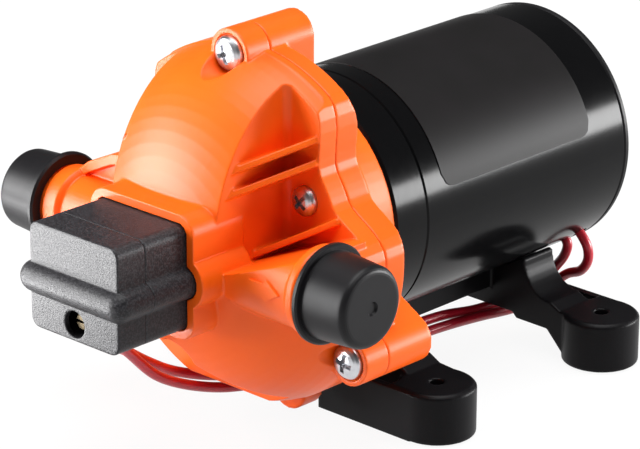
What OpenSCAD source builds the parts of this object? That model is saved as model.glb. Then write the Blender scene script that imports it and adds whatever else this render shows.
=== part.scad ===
// Caravan water pump: a three-chamber diaphragm pump on a 12 V motor.
// X points to the outlet side, Y runs back along the motor, Z is up.
// The origin is the centre of the foot hole pattern, on the mounting plane.

/* [Motor] */
// Outside diameter of the motor can
can_d = 73; // [71:0.5:76]
// Length of the motor can with its end cap
can_len = 89; // [84:1:100]
// Wall of the motor can
can_wall = 2; // [1.5:0.1:2.3]
// Thickness of the end cap's rim
end_cap_t = 2.6; // [2:0.1:3.5]
// Length of the gloss ring between can and pump head
flange_len = 13; // [12:0.5:16]
// Diameter of the motor shaft
shaft_d = 8; // [7:0.1:8.4]
// Outside diameter of the armature core
core_d = 52; // [48:1:53]
// Length of the armature core
core_len = 38; // [30:1:40]
// Number of armature slots
core_slots = 10; // [8:1:10]
// Diameter of the commutator
commutator_d = 20; // [18:0.5:22]
// Outside diameter of the ball bearings at the front of the shaft
bearing_d = 22; // [21:0.2:23]
// Width of the ball bearings
bearing_w = 7; // [6:0.2:8]

/* [Label] */
// Length of the blank label on the can
label_len = 64; // [40:1:66]
// Angle of the label's lower edge above the horizontal
label_low = 14; // [10:1:40]
// Angle that the label wraps round the can
label_wrap = 152; // [90:1:160]
// Thickness of the label
label_t = 0.25; // [0.15:0.05:0.4]

/* [Pump head] */
// Length of the rear housing
rear_len = 19.5; // [18.5:0.5:22]
// Radius of the top lobe
lobe_r = 52.8; // [52:0.2:54]
// Radius of the head's lower half
lower_r = 50.4; // [49:0.2:51]
// Distance of the head's flat underside from the motor axis
under_z = 46; // [45.4:0.2:46.8]
// Radius of the two waists beside the top lobe
waist_r = 39.8; // [39:0.2:41]
// Depth of the domed front in front of the parting line
dome_len = 36.5; // [35.5:0.5:38]
// Distance of the right pocket's wall from the middle of the dome
wall_right = 19.6; // [19:0.2:20.4]
// Distance of the left pocket's wall from the middle of the dome
wall_left = 21.5; // [20.9:0.2:22.1]
// Distance of the pocket floors in front of the parting line
pocket_rise = 6.5; // [6:0.5:8]
// Distance of the outer screws from the motor axis
boss_circle = 51.8; // [51:0.2:53]
// Radius of the outer screw bosses
boss_r = 7; // [6.6:0.1:7.4]
// Distance of the pocket screws from the motor axis
pocket_circle = 31; // [30.6:0.1:31.4]
// Thickness of the pocket ribs
rib_t = 1.8; // [1.2:0.1:2.4]

/* [Ports] */
// Distance of the port axis in front of the parting line
port_reach = 23.2; // [22:0.2:24]
// Distance from the motor axis to the end of a port
port_end = 64.5; // [62:0.5:68]
// Outside diameter of the port thread
port_thread_d = 20.9; // [19:0.1:21]
// Bore of a port
port_bore = 12; // [9:0.5:13]
// Radius of the outlet's neck behind the thread
neck_r = 11.8; // [11.4:0.1:12.6]
// Pitch of the thread
thread_pitch = 1.8; // [1.4:0.1:2.3]
// Wall of the end of a port cap
cap_end_t = 2; // [1.5:0.1:3]
// Radius of a port cap's flange
cap_flange_r = 14; // [13.6:0.1:15]

/* [Pressure switch] */
// Width of the switch box
box_w = 34; // [33:0.5:35]
// Height of the switch box
box_h = 30.4; // [29.6:0.2:31]
// Depth of the box behind the seam
switch_body_len = 26; // [25.5:0.5:28]
// Depth of the cover in front of the seam
switch_cover_len = 10; // [9:0.5:12]
// Wall of the switch box
box_wall = 1.8; // [1.4:0.1:2]
// Radius of the half-round rib round the box
bead_r = 4.5; // [4:0.1:5]
// How far the collar of the front housing reaches round the box
collar_len = 11; // [9:0.5:13]
// Wall of the collar
collar_wall = 2.6; // [2:0.1:3]
// Diameter of the adjusting hole in the cover
adjust_hole_d = 7.5; // [6.6:0.1:8]
// Distance of the adjusting screw below the box's centre
adjust_drop = 10.4; // [10:0.1:10.6]

/* [Drive] */
// Tilt of the wobble drive, in degrees
wobble_tilt = 4; // [3:0.1:4.2]
// Distance of the pistons from the motor axis
piston_circle = 12.5; // [12:0.1:12.8]
// Radius of a piston
piston_r = 6.2; // [5.6:0.1:6.4]

/* [Bracket] */
// Distance between the foot holes across the pump
foot_pitch_x = 90; // [86:1:98]
// Distance from the rear foot holes to the back of the can
rear_overhang = 22; // [20:0.5:26]
// Distance from the front foot holes to the front of the ring
front_overhang = 8; // [7:0.5:9]
// Radius of a foot
foot_r = 11.3; // [10.6:0.1:12]
// Height of a foot
foot_h = 15; // [14:0.5:16]
// Diameter of a foot hole
foot_hole_d = 4.2; // [3.6:0.1:5]
// Height of the can's underside above the mounting plane
can_clear = 21.2; // [20.6:0.2:23]

/* [Leads] */
// Diameter of a red lead
lead_d = 3; // [2.4:0.1:3.2]

/* [Hidden] */
$fn = 64;

// Clearances between pieces
fit = 0.02;
slip = 0.15;
run = 0.06;
loose = 0.3;

// Colours
orange = "#f47a20";
soft_black = "#232325";
gloss_black = "#141416";
bright = "#c9ccd0";
wire_red = "#b3202c";
pale_plastic = "#e8e6df";
rubber = "#2b2b2d";
copper = "#b5713c";
brass = "#c7a253";
grey_iron = "#5d6064";
dull_red = "#a33024";
red_rubber = "#8a3b2c";
brown_board = "#7a5a35";
carbon = "#3a3a3c";
label_black = "#1c1c1e";

// Motor and bracket places
can_r = can_d / 2;
can_bore = can_r - can_wall;
axis_h = can_r + can_clear;
foot_pitch_y = can_len + flange_len - rear_overhang - front_overhang;
can_rear_y = foot_pitch_y / 2 + rear_overhang;

// Stations: distances forward of the back of the can
st_ring = can_len;
st_rear = st_ring + flange_len;
st_boss = st_rear + 2;
st_part = st_rear + rear_len;
lobe_t = 8.5;
st_lobe = st_part - lobe_t;
st_floor = st_part + pocket_rise;
st_port = st_part + port_reach;
seat_back = 4.8;
st_seat = st_part + dome_len - seat_back;
st_collar = st_seat + collar_len;
st_seam = st_seat + switch_body_len;
st_front = st_seam + switch_cover_len;

// The front housing plugs into the rear one, so the diaphragm sits behind the parting line
plug_len = 5.5;
st_inner = st_part - plug_len;

// Directions of the lobes and of the waists between them
lobe_dirs = [90, 210, 330];
waist_dirs = [30, 150, 270];

// Puts children along the motor axis: local Z runs forward from the back of the can
module along_motor() {
    translate([0, can_rear_y, axis_h]) rotate([90, 0, 0]) children();
}

// Puts children on the tilted axis of the wobble drive
st_wobble = st_inner - 9.5;
module on_wobble() {
    along_motor() translate([0, 0, st_wobble]) rotate([wobble_tilt, 0, 0]) children();
}

// A ring of revolution between two radii and two stations
module ring(r_in, r_out, z0, z1) {
    translate([0, 0, z0]) difference() {
        cylinder(h = z1 - z0, r = r_out);
        translate([0, 0, -1]) cylinder(h = z1 - z0 + 2, r = r_in);
    }
}

// A turned piece with small chamfers on its two outer edges
module chamfered(r, z0, z1, c0, c1) {
    rotate_extrude() polygon([[0, z0], [r - c0, z0], [r, z0 + c0], [r, z1 - c1], [r - c1, z1], [0, z1]]);
}

// Pan head screw: the head stands on z = 0 and the shank points to -Z
module pan_screw(head_r, head_h, shank_r, len, recess = true) {
    arc = [for (a = [0 : 15 : 90]) [head_r * cos(a), head_h * 0.25 + head_h * 0.75 * sin(a)]];
    cross_w = head_r * 0.28;
    difference() {
        rotate_extrude() polygon(concat([[0, -len], [shank_r, -len], [shank_r, 0], [head_r, 0]], arc));
        if (recess) for (q = [0, 90]) rotate([0, 0, q + 20])
            translate([-head_r * 0.56, -cross_w / 2, head_h * 0.3]) cube([head_r * 1.12, cross_w, head_h]);
    }
}

// Rounded rectangle made of squares and circles
module soft_square(half_x, half_y, r) {
    square([2 * half_x, 2 * (half_y - r)], center = true);
    square([2 * (half_x - r), 2 * half_y], center = true);
    for (x = [-1, 1]) for (y = [-1, 1]) translate([x * (half_x - r), y * (half_y - r)]) circle(r);
}

// Outline of the lobed housings: a top lobe, two waists and a round lower half
lobe_flat = 33;
lobe_fall = 21;
function smooth(t) = t <= 0 ? 0 : t >= 1 ? 1 : t * t * (3 - 2 * t);
function from_lobe(a) = let (d = (a + 30) % 120) min(d, 120 - d);
function full_r(a) = a > 30 && a < 150 ? lobe_r : lower_r;
function outline_r(a) = a > 210 && a < 330 ? min(lower_r, -under_z / sin(a))
    : full_r(a) - (full_r(a) - waist_r) * smooth((from_lobe(a) - lobe_flat) / lobe_fall);
module lobe_outline() {
    polygon([for (a = [0 : 3 : 357]) outline_r(a) * [cos(a), sin(a)]]);
}

// Boss of an outer screw, as a rounded block that stands on the lobe
module boss_outline() {
    for (a = lobe_dirs) rotate(a) {
        translate([boss_circle, 0]) circle(boss_r);
        translate([lower_r - 8, -boss_r]) square([boss_circle - lower_r + 8, 2 * boss_r]);
    }
}
outer_head_r = 5;
outer_head_h = 3.3;
screw_head_r = 4.3;
screw_head_h = 2.9;
outer_shank_r = 2.1;
outer_hole_r = outer_shank_r + slip;
boss_front = st_floor + 2.3;
screw_seat = boss_front - 0.9;
outer_screw_len = screw_seat - st_boss - 3;

// Internal cavity of the head
cavity_r = 24.8;
plug_r = cavity_r + 2.4;
crank_r = 22;
rim_t = 1.7;
st_plate = st_inner + rim_t + 0.1;
plate_t = 5.4;
cavity_top = st_plate + plate_t + 0.2;

// Rounded lug under the rear housing
lug_dir = -73;
lug_circle = lower_r - 3;
lug_r = 6.4;
body_r = waist_r - 0.7;
module rear_housing() {
    color(orange) along_motor() difference() {
        union() {
            // Body that narrows to the motor flange
            rotate_extrude() polygon([
                [0, st_rear], [can_r - 0.6, st_rear], [body_r, st_lobe], [body_r, st_part], [0, st_part]]);
            intersection() {
                translate([0, 0, st_lobe]) linear_extrude(lobe_t) lobe_outline();
                rotate_extrude() polygon([
                    [0, st_lobe], [lower_r - 3.1, st_lobe], [lower_r - 0.45, st_lobe + 0.8],
                    [lobe_r + 1.3, st_lobe + 3.3], [lobe_r + 1.3, st_part + 1], [0, st_part + 1]]);
            }
            translate([0, 0, st_boss]) linear_extrude(st_part - st_boss) boss_outline();
            rotate(lug_dir) translate([lug_circle, 0, st_lobe + 1]) cylinder(h = lobe_t - 1, r = lug_r);
        }
        translate([0, 0, st_rear - 1]) cylinder(h = rear_len + 2, r = crank_r);
        translate([0, 0, st_inner]) cylinder(h = plug_len + 1, r = plug_r + slip);
        for (a = lobe_dirs) rotate(a) translate([boss_circle, 0, st_boss + 2])
            cylinder(h = rear_len, r = outer_hole_r);
        for (a = waist_dirs) rotate(a) translate([pocket_circle, 0, st_rear - 1])
            cylinder(h = rear_len + 2, r = outer_hole_r);
    }
}

// Profile of the domed front: straight band, then part of an ellipse, a little above the motor axis
dome_back = 1.5;
dome_base = 6;
dome_lift = 1.2;
dome_swell = lobe_r - dome_lift - dome_base + 0.1;
dome_start = 6;
dome_stop = 78;
module dome() {
    arc = [for (i = [0 : 15]) let (a = dome_start + (dome_stop - dome_start) * i / 15)
        [dome_base + dome_swell * cos(a), st_part - dome_back + (dome_len + dome_back) * sin(a)]];
    translate([0, dome_lift, 0]) rotate_extrude() polygon(concat(
        [[0, st_part], [lobe_r + 3, st_part], [lobe_r + 3, arc[0][1]]], arc, [[0, arc[15][1]]]));
}

// Side pocket between the top lobe and the port, on the right, with a rounded inner corner
pocket_slope = 20;
pocket_low = 7;
pocket_round = 2.5;
module side_pocket(wall) {
    difference() {
        intersection() {
            translate([wall, -60, st_floor]) cube([60, 140, 80]);
            rotate(pocket_slope) translate([-20, -pocket_low, st_floor]) cube([120, 140, 80]);
        }
        difference() {
            translate([wall - 1, -70, st_floor - 1]) cube([pocket_round + 1, 160, pocket_round + 1]);
            translate([wall + pocket_round, -80, st_floor + pocket_round]) rotate([-90, 0, 0])
                cylinder(h = 180, r = pocket_round);
        }
    }
}

// Triangular ribs that stand on the floor of a side pocket: offset, reach and height at the wall
rib_places = [[14, 43.6, 23], [8.3, 40.6, 25], [-8.6, 40.2, 14.5]];
module pocket_ribs(wall) {
    for (p = rib_places) {
        root = (wall - 1 + 0.5 * p[0]) / cos(30);
        rotate(30) translate([0, p[0] + rib_t / 2, 0]) rotate([90, 0, 0]) linear_extrude(rib_t)
            polygon([
                [root, st_floor - 1], [p[1], st_floor - 1], [p[1], st_floor + 0.8], [root, st_floor + p[2]]]);
    }
}

// Section of the switch box with its side beads, grown by a wall or a gap
box_corner = 3;
inner_corner = 1.5;
bead_out = 3.6;
bead_y = -1;
bead_x = box_w / 2 + bead_out - bead_r;
module box_section(grow) {
    soft_square(box_w / 2 + grow, box_h / 2 + grow, box_corner + max(grow, -1));
    for (x = [-1, 1]) translate([x * bead_x, bead_y]) circle(bead_r + grow);
}

// Ports: the inlet has a narrower neck and a longer ring at its end
rim_r = 12.7;
rim_len = 4;
inlet_neck_r = 9.5;
inlet_rim_r = 11;
inlet_rim_len = 6.7;
port_seat = 50;
thread_r = port_thread_d / 2;
thread_h = 0.7;
thread_turns = floor((port_end - port_seat - 2) / thread_pitch);

// Thread ridges of one port, with local Z pointing out of the port
module port_spigot() {
    rotate_extrude() polygon(concat(
        [[0, port_seat - 1], [thread_r - thread_h, port_seat - 1]],
        [for (i = [0 : thread_turns - 1]) for (c = [[0, 0], [0.25, 1], [0.5, 1], [0.75, 0]])
            [thread_r - thread_h + thread_h * c[1], port_seat + 1 + (i + c[0]) * thread_pitch]],
        [[thread_r - thread_h, port_end - 0.6], [thread_r - thread_h - 0.6, port_end], [0, port_end]]));
}

// Neck of a port on the right, of a given radius, with the solid web behind it
neck_start = 12;
web_end = port_seat - 2;
web_low = 9;
module port_neck(r) {
    translate([neck_start, 0, st_port]) rotate([0, 90, 0]) cylinder(h = port_seat - neck_start, r = r);
    translate([0, 0, st_floor - 1]) linear_extrude(st_port - st_floor - 1) intersection() {
        translate([neck_start, -web_low]) square([web_end - neck_start, 2 * web_low]);
        rotate(pocket_slope) translate([0, -40 - pocket_low]) square([80, 40]);
    }
}

// Rim, of a given radius and length, and threaded end of a port on the right
module port_end_piece(r, len) {
    translate([0, 0, st_port]) rotate([0, 90, 0]) {
        rotate_extrude() polygon([
            [0, port_seat - len], [r - 1, port_seat - len], [r, port_seat - len + 1],
            [r, port_seat - 1], [r - 1, port_seat], [0, port_seat]]);
        port_spigot();
    }
}

// Plate with a raised border above the inlet neck
plate_line = [[-46, 10.4], [-41.2, 14.1], [-31.7, 18.6], [-16, 22]];
plate_foot = -6;
plate_back = 5;
plate_recess = 1.5;
border_rise = 0.5;
border_w = 3.3;
module inlet_plate() {
    translate([0, 0, st_port - plate_back]) {
        linear_extrude(plate_back - plate_recess)
            polygon(concat(plate_line, [[plate_line[3].x, plate_foot], [plate_line[0].x, plate_foot]]));
        linear_extrude(plate_back + border_rise)
            polygon(concat(plate_line, [for (i = [3, 2, 1, 0]) plate_line[i] - [0, border_w]]));
    }
}

// Passages inside the front housing
outlet_well_r = 9;
switch_well_r = 6.5;
inlet_drop_x = 14;
inlet_drop_r = 3;
bore_start = 42;
passage_r = 3.4;
passage_drop = 5.4;
seal_r = 9.2;
seal_t = 1.8;

// Pocket under the dome, on the left, with a round way for the driver of the lowest pocket screw
low_dir = -120;
low_wall = 25;
low_left = 14;
low_rise = 3;
module low_pocket() {
    rotate(low_dir) translate([low_wall, -low_left, st_floor + low_rise]) cube([60, 110, 80]);
    translate([0, -pocket_circle, st_floor]) cylinder(h = 60, r = screw_head_r + 1.2);
}

module front_housing() {
    color(orange) along_motor() difference() {
        union() {
            difference() {
                union() {
                    intersection() {
                        translate([0, 0, st_part]) linear_extrude(dome_len + 10) lobe_outline();
                        dome();
                    }
                    translate([0, 0, st_part]) linear_extrude(boss_front - st_part) boss_outline();
                    port_neck(neck_r);
                }
                side_pocket(wall_right);
                mirror([1, 0, 0]) side_pocket(wall_left);
                low_pocket();
                // Screwdriver clearance in front of the outer screws
                for (a = lobe_dirs) rotate(a) translate([boss_circle, 0, screw_seat])
                    cylinder(h = dome_len, r = outer_head_r + 0.5);
            }
            pocket_ribs(wall_right);
            mirror([1, 0, 0]) pocket_ribs(wall_left);
            port_end_piece(rim_r, rim_len);
            mirror([1, 0, 0]) port_end_piece(inlet_rim_r, inlet_rim_len);
            mirror([1, 0, 0]) port_neck(inlet_neck_r);
            inlet_plate();
            // Collar round the switch box
            translate([0, 0, st_seat - 8]) linear_extrude(st_collar - st_seat + 8)
                box_section(loose + collar_wall);
            // Plug that enters the rear housing
            ring(cavity_r, plug_r, st_inner + 0.2, st_part + 1);
        }
        // Seat of the switch box
        translate([0, 0, st_seat]) linear_extrude(collar_len + 1) box_section(loose);
        translate([0, 0, st_inner - 1]) cylinder(h = cavity_top - st_inner + 1, r = cavity_r);
        translate([0, 0, st_part]) cylinder(h = port_reach - 8, r = outlet_well_r);
        translate([0, 0, st_part]) cylinder(h = st_seat - st_part - 1, r = switch_well_r);
        translate([0, 0, st_seat - seal_t]) cylinder(h = seal_t + 1, r = seal_r);
        translate([-inlet_drop_x, -passage_drop, st_part]) cylinder(h = port_reach, r = inlet_drop_r);
        // Port bores, and the narrower passages that join them to the middle
        for (m = [0, 1]) mirror([m, 0, 0]) {
            translate([bore_start, 0, st_port]) rotate([0, 90, 0]) cylinder(h = port_end, d = port_bore);
            passage_start = m * (inlet_drop_x - 1);
            translate([passage_start, -passage_drop, st_port]) rotate([0, 90, 0])
                cylinder(h = bore_start + 1 - passage_start, r = passage_r);
        }
        for (a = lobe_dirs) rotate(a) translate([boss_circle, 0, st_part - 1])
            cylinder(h = dome_len, r = outer_hole_r);
        for (a = waist_dirs) rotate(a) translate([pocket_circle, 0, st_part - 1])
            cylinder(h = pocket_rise + 3, r = outer_hole_r);
        // Seats of the pocket screws, cut into the rounded corners
        for (a = waist_dirs) rotate(a) translate([pocket_circle, 0, st_floor])
            cylinder(h = screw_head_h + 1, r = screw_head_r + loose);
        for (x = [-1, 1]) translate([x * switch_screw_x, switch_screw_y, st_seat - 6])
            cylinder(h = 8, r = switch_screw_r + fit);
    }
}

module housing_screws() {
    color(bright) along_motor() for (a = lobe_dirs) rotate(a) translate([boss_circle, 0, screw_seat])
        pan_screw(outer_head_r, outer_head_h, outer_shank_r, outer_screw_len);
}

motor_screw_len = st_floor - st_rear + 9;
module motor_screws() {
    color(bright) along_motor() for (a = waist_dirs) rotate(a) translate([pocket_circle, 0, st_floor])
        pan_screw(screw_head_r, screw_head_h, outer_shank_r, motor_screw_len);
}

// Pressure switch
plunger_r = 4;
plunger_boss_r = 6.5;
plunger_boss_len = 5;
floor_t = 2.5;
lever_y = 11;
lever_t = 2;
lever_z = st_seat + 9.2;
lever_half = 4;
pin_r = 1.2;
ear_x = 6;
ear_t = 2;
shelf_y = -5;
shelf_t = 1.6;
bridge_t = 2.4;
switch_screw_x = 12;
switch_screw_y = 9;
switch_screw_r = 1.5;
lead_hole_x = [-8, -13];
lead_hole_z = st_seat + 14.4;

module switch_body() {
    inner_x = box_w / 2 - box_wall;
    inner_y = box_h / 2 - box_wall;
    color(soft_black) along_motor() difference() {
        union() {
            difference() {
                translate([0, 0, st_seat]) linear_extrude(switch_body_len) box_section(0);
                translate([0, 0, st_seat + floor_t]) linear_extrude(switch_body_len)
                    soft_square(inner_x, inner_y, inner_corner);
            }
            translate([0, 0, st_seat]) cylinder(h = floor_t + plunger_boss_len, r = plunger_boss_r);
            // Ears that hold the lever's pin
            for (x = [-1, 1]) translate([x * ear_x - ear_t / 2, lever_y - 2.4, st_seat + 1])
                cube([ear_t, inner_y - lever_y + 3, lever_z - st_seat + 2.6]);
            // Shelf under the micro switch and bridge for the adjusting screw
            translate([-inner_x - 0.5, shelf_y - shelf_t, lever_z + 5.8])
                cube([2 * inner_x + 1, shelf_t, st_seam - lever_z - 5.8]);
            translate([-inner_x - 0.5, -inner_y - 0.5, st_seam - bridge_t])
                cube([2 * inner_x + 1, inner_y + shelf_y + 0.5, bridge_t]);
        }
        translate([0, 0, st_seat - 1]) cylinder(h = 20, r = plunger_r + run);
        translate([-20, lever_y, lever_z]) rotate([0, 90, 0]) cylinder(h = 40, r = pin_r + fit);
        translate([0, -adjust_drop, st_seam - bridge_t - 1])
            cylinder(h = bridge_t + 2, r = adjust_shank_r + run);
        for (x = lead_hole_x) translate([x, -inner_y + 1, lead_hole_z]) rotate([90, 0, 0])
            cylinder(h = box_wall + 2, d = lead_d + 2 * fit);
        for (x = [-1, 1]) translate([x * switch_screw_x, switch_screw_y, st_seat - 1])
            cylinder(h = 8, r = switch_screw_r + slip);
    }
}

bead_front = 3;
module switch_cover() {
    inner_x = box_w / 2 - box_wall;
    inner_y = box_h / 2 - box_wall;
    bead_z = st_front + bead_front - bead_r;
    color(soft_black) along_motor() difference() {
        union() {
            translate([0, 0, st_seam]) linear_extrude(switch_cover_len)
                soft_square(box_w / 2, box_h / 2, box_corner);
            for (x = [-1, 1]) translate([x * bead_x, bead_y, bead_z]) {
                sphere(bead_r);
                translate([0, 0, st_seam - bead_z]) cylinder(h = bead_z - st_seam, r = bead_r);
            }
            translate([-bead_x, bead_y, bead_z]) rotate([0, 90, 0]) cylinder(h = 2 * bead_x, r = bead_r);
        }
        translate([0, 0, st_seam - 1]) linear_extrude(switch_cover_len - box_wall + 1)
            soft_square(inner_x, inner_y, inner_corner);
        translate([0, -adjust_drop, st_seam]) cylinder(h = switch_cover_len + 5, d = adjust_hole_d);
    }
}

module switch_screws() {
    color(bright) along_motor() for (x = [-1, 1])
        translate([x * switch_screw_x, switch_screw_y, st_seat + floor_t])
            pan_screw(2.8, 2, switch_screw_r, floor_t + 5);
}

micro_w = 20;
micro_h = 6.4;
micro_z = lever_z + 6;
micro_len = 10;
tag_x = 6;
tag_w = 3;
module micro_switch() {
    color(soft_black) along_motor() difference() {
        union() {
            translate([-micro_w / 2, shelf_y + fit, micro_z]) cube([micro_w, micro_h, micro_len]);
            // Solder tags
            for (x = [-1, 1]) translate([x * tag_x - tag_w / 2, shelf_y + 2.8, micro_z + micro_len - 0.5])
                cube([tag_w, 0.8, 4]);
        }
        translate([0, button_y, micro_z - 1]) cylinder(h = 4, r = button_r + run);
    }
}

module lever_pin() {
    color(bright) along_motor() translate([-ear_x - ear_t, lever_y, lever_z]) rotate([0, 90, 0])
        cylinder(h = 2 * (ear_x + ear_t), r = pin_r);
}

lever_low = 13;
module switch_lever() {
    color(bright) along_motor() difference() {
        union() {
            translate([-lever_half, -lever_low, lever_z - lever_t / 2])
                cube([2 * lever_half, lever_low + lever_y, lever_t]);
            translate([-lever_half, lever_y, lever_z]) rotate([0, 90, 0])
                cylinder(h = 2 * lever_half, r = pin_r + 1);
        }
        translate([-lever_half - 1, lever_y, lever_z]) rotate([0, 90, 0])
            cylinder(h = 2 * lever_half + 2, r = pin_r + run);
    }
}

module switch_plunger() {
    color(pale_plastic) along_motor() translate([0, 0, st_seat + 0.1])
        chamfered(plunger_r, 0, lever_z - lever_t / 2 - st_seat - 0.4, 0.3, 1.2);
}

button_y = -1.5;
button_r = 1.3;
module switch_button() {
    z0 = lever_z + lever_t / 2 + 0.3;
    color(dull_red) along_motor() translate([0, button_y, z0])
        chamfered(button_r, 0, micro_z + 1.6 - z0, 0.3, 0);
}

module switch_diaphragm() {
    color(rubber) along_motor() translate([0, 0, st_seat - seal_t]) {
        ring(seal_r - 2, seal_r - slip, 0.02, seal_t - 0.02);
        translate([0, 0, 0.4]) cylinder(h = seal_t - 0.6, r = seal_r - 1.5);
    }
}

// A helical wire round local Z, as one tube
coil_rings = 8;
coil_sides = 6;
function coil_point(i, r, pitch) = let (a = 360 * i / coil_rings)
    [r * cos(a), r * sin(a), pitch * i / coil_rings];
function least_gap(r, pitch, turns, wire) = min([
    for (i = [0 : turns * coil_rings]) for (j = [i + coil_rings - 2 : 1 : turns * coil_rings])
        norm(coil_point(i, r, pitch) - coil_point(j, r, pitch)) - wire]);
module coil(r, pitch, turns, wire) {
    count = turns * coil_rings + 1;
    points = [for (i = [0 : count - 1]) let (c = coil_point(i, r, pitch), a = 360 * i / coil_rings)
        for (j = [0 : coil_sides - 1]) let (b = 360 * j / coil_sides)
            c + wire / 2 * [cos(b) * cos(a), cos(b) * sin(a), sin(b)]];
    sides = [for (i = [0 : count - 2]) for (j = [0 : coil_sides - 1])
        let (k = (j + 1) % coil_sides, p = i * coil_sides, q = p + coil_sides)
            each [[p + j, q + j, q + k], [p + j, q + k, p + k]]];
    last = (count - 1) * coil_sides;
    ends = [for (j = [1 : coil_sides - 2]) each [[0, j, j + 1], [last, last + j + 1, last + j]]];
    polyhedron(points, concat(sides, ends));
}

// Pressure spring between the lever and its seat
spring_r = 2.2;
spring_wire = 0.8;
spring_turns = 5;
spring_low = lever_z + lever_t / 2 + 0.2;
seat_z = st_seam - bridge_t - 4.6;
seat_t = 2;
spring_pitch = (seat_z - 0.2 - spring_low - spring_wire) / spring_turns;
echo(pressure_spring_gap = least_gap(spring_r, spring_pitch, spring_turns, spring_wire));
module pressure_spring() {
    color(bright) along_motor() translate([0, -adjust_drop, spring_low + spring_wire / 2])
        coil(spring_r, spring_pitch, spring_turns, spring_wire);
}

adjust_shank_r = 1.2;
adjust_head_r = 2.6;
adjust_head_h = switch_cover_len - 2.8;
module spring_seat() {
    color(brass) along_motor() translate([0, -adjust_drop, seat_z]) difference() {
        union() {
            translate([-2.7, -2.7, 0]) cube([5.4, 5.4, seat_t]);
            translate([0, 0, -1]) cylinder(h = 1.5, r = spring_r - spring_wire / 2 - 0.2);
        }
        translate([0, 0, -3]) cylinder(h = 8, r = adjust_shank_r + run);
    }
}

module adjusting_screw() {
    color(bright) along_motor() translate([0, -adjust_drop, st_seam + fit]) difference() {
        union() {
            chamfered(adjust_head_r, 0, adjust_head_h, 0, 0.5);
            translate([0, 0, seat_z - 0.8 - st_seam]) cylinder(h = st_seam - seat_z + 1, r = adjust_shank_r);
        }
        translate([-adjust_head_r, -0.4, adjust_head_h - 1]) cube([2 * adjust_head_r, 0.8, 2]);
    }
}

// Valve plate, with chambers on its rear face
chamber_r = 7.6;
chamber_depth = 3;
valve_r = 5.4;
valve_t = 0.8;
valve_stem_r = 1.2;
plate_bore = 1.4;
outlet_bore_circle = 7.2;
groove_in = 11.5;
groove_out = 19.5;
groove_depth = 1.2;
outlet_valve_r = 8.2;
outlet_reach = 5;
plate_r = cavity_r - 0.1;
module valve_plate() {
    top = st_plate + plate_t;
    color(pale_plastic) along_motor() difference() {
        translate([0, 0, st_plate]) cylinder(h = plate_t, r = plate_r);
        ring(groove_in, groove_out, top - groove_depth, top + 1);
        ring(plate_r - 1.2, plate_r + 1, top - 2.2, top - 1);
        for (a = lobe_dirs) rotate(a) {
            translate([piston_circle, 0, st_plate - 1]) cylinder(h = chamber_depth + 1, r = chamber_r);
            translate([piston_circle, 0, st_plate]) cylinder(h = plate_t + 1, r = valve_stem_r + fit);
            for (q = [-1, 0, 1]) rotate(q * 12) translate([piston_circle + 3.6, 0, st_plate])
                cylinder(h = plate_t + 1, r = plate_bore / 2);
            for (q = [-1, 1]) rotate(q * 17) translate([outlet_bore_circle, 0, st_plate])
                cylinder(h = plate_t + 1, r = plate_bore / 2);
        }
        translate([0, 0, st_plate - 1]) cylinder(h = plate_t + 2, r = valve_stem_r + fit);
    }
}

module valve_seal() {
    top = st_plate + plate_t;
    color(rubber) along_motor() rotate_extrude() translate([plate_r - 0.62, top - 1.6]) circle(0.52);
}

module inlet_valves() {
    floor_z = st_plate + chamber_depth;
    color(red_rubber) along_motor() for (a = lobe_dirs) rotate(a) translate([piston_circle, 0, 0]) {
        translate([0, 0, floor_z - valve_t]) cylinder(h = valve_t - 0.02, r = valve_r);
        translate([0, 0, floor_z - valve_t])
            cylinder(h = plate_t - chamber_depth + valve_t + 0.1, r = valve_stem_r);
    }
}

module outlet_valve() {
    top = st_plate + plate_t;
    color(red_rubber) along_motor() {
        translate([0, 0, top + 0.03]) cylinder(h = 1, r = outlet_valve_r);
        translate([0, 0, st_plate + 1.2]) cylinder(h = plate_t, r = valve_stem_r);
        translate([0, 0, top + 0.5]) cylinder(h = outlet_reach / 2, r = 2.4);
    }
}

// Wobble drive, measured from its tilted centre
cam_bore_r = 7.5;
cam_r = 14;
cam_half = 3.5;
cup_r = 17;
web_z = cam_half + 0.1;
boss_z = web_z + 4.4;
post_r = 6.3;
sheet_t = 1.4;
piston_t = 2;
piston_screw_r = 1.5;
piston_screw_len = 7.4;
module wobble_plate() {
    color(soft_black) on_wobble() difference() {
        union() {
            translate([0, 0, -cam_half - 0.6]) cylinder(h = cam_half + 0.6 + web_z + 2, r = cup_r);
            for (a = lobe_dirs) rotate(a) translate([piston_circle, 0, web_z])
                cylinder(h = boss_z - web_z, r = post_r);
        }
        translate([0, 0, -20]) cylinder(h = 20 + cam_half, r = cam_r + fit);
        translate([0, 0, -20]) cylinder(h = 40, r = cam_bore_r + 2.2);
        for (a = lobe_dirs) rotate(a) translate([piston_circle, 0, boss_z - 4])
            cylinder(h = 6, r = piston_screw_r + fit);
    }
}

// Rubber sheet: a tilted centre that follows the wobble plate and a clamped rim
sheet_r = 20.2;
roll_r = 21.5;
module pump_diaphragm() {
    reach = sheet_r * sin(wobble_tilt) + 0.1;
    mid = st_wobble + boss_z + 0.1 + sheet_t / 2;
    color(rubber) {
        on_wobble() difference() {
            translate([0, 0, boss_z + 0.1]) cylinder(h = sheet_t, r = sheet_r);
            for (a = lobe_dirs) rotate(a) translate([piston_circle, 0, boss_z])
                cylinder(h = 2 * sheet_t, r = piston_screw_r + loose);
        }
        along_motor() {
            ring(sheet_r - 0.8, roll_r, mid - reach, min(mid + reach, st_plate - 0.15));
            ring(sheet_r - 0.4, cavity_r - 0.1, st_inner, st_inner + rim_t);
        }
    }
}

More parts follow.
